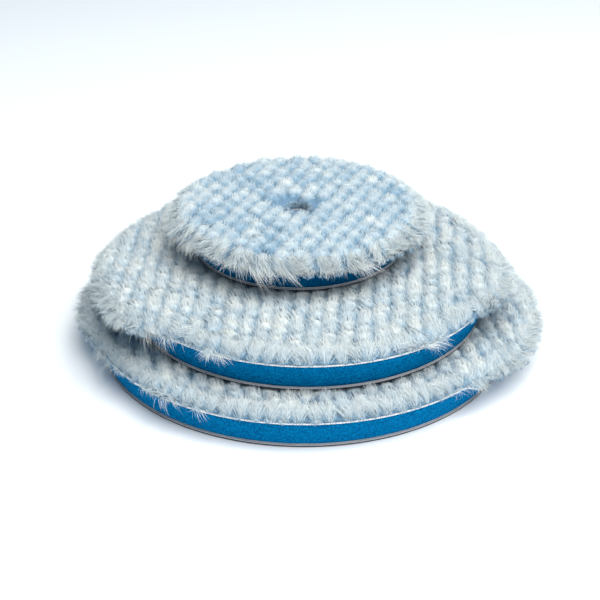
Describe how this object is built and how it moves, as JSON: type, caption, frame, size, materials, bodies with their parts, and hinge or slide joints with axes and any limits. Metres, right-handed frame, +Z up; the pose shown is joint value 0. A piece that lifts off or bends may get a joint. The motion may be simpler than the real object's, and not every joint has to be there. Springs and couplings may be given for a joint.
{
  "type": "polishing pad set",
  "caption": "Stacked round wool polishing pads in graded sizes, each a looped backing, blue foam and a knitted white and blue cut pile, with a centring hole.",
  "frame": {"origin": "centre of the largest pad's loop face, where the stack stands", "axes": "+Z up, from the loop face to the wool; -Y towards the viewer's side of the stack, where the foam edges show"},
  "size_m": [0.182, 0.182, 0.0552],
  "materials": {
    "loop_textile": "matte",
    "bonding_film": "satin",
    "blue_foam": "matte",
    "knit_textile": "matte",
    "white_wool": "matte",
    "blue_wool": "matte"
  },
  "bodies": {
    "large_pad": {"large_loop_fabric": "loop_textile", "large_loop_adhesive": "bonding_film", "large_foam_core": "blue_foam", "large_pile_adhesive": "bonding_film", "large_knit_ground": "knit_textile", "large_white_yarn": "white_wool", "large_blue_yarn": "blue_wool"},
    "medium_pad": {"medium_loop_fabric": "loop_textile", "medium_loop_adhesive": "bonding_film", "medium_foam_core": "blue_foam", "medium_pile_adhesive": "bonding_film", "medium_knit_ground": "knit_textile", "medium_white_yarn": "white_wool", "medium_blue_yarn": "blue_wool"},
    "small_pad": {"small_loop_fabric": "loop_textile", "small_loop_adhesive": "bonding_film", "small_foam_core": "blue_foam", "small_pile_adhesive": "bonding_film", "small_knit_ground": "knit_textile", "small_white_yarn": "white_wool", "small_blue_yarn": "blue_wool"}
  },
  "joints": [
    {"name": "medium_lift", "type": "slide", "parent": "large_pad", "child": "medium_pad", "axis": [0, 0, 1], "range_m": [0, 0.1]},
    {"name": "small_lift", "type": "slide", "parent": "medium_pad", "child": "small_pad", "axis": [0, 0, 1], "range_m": [0, 0.1]}
  ]
}
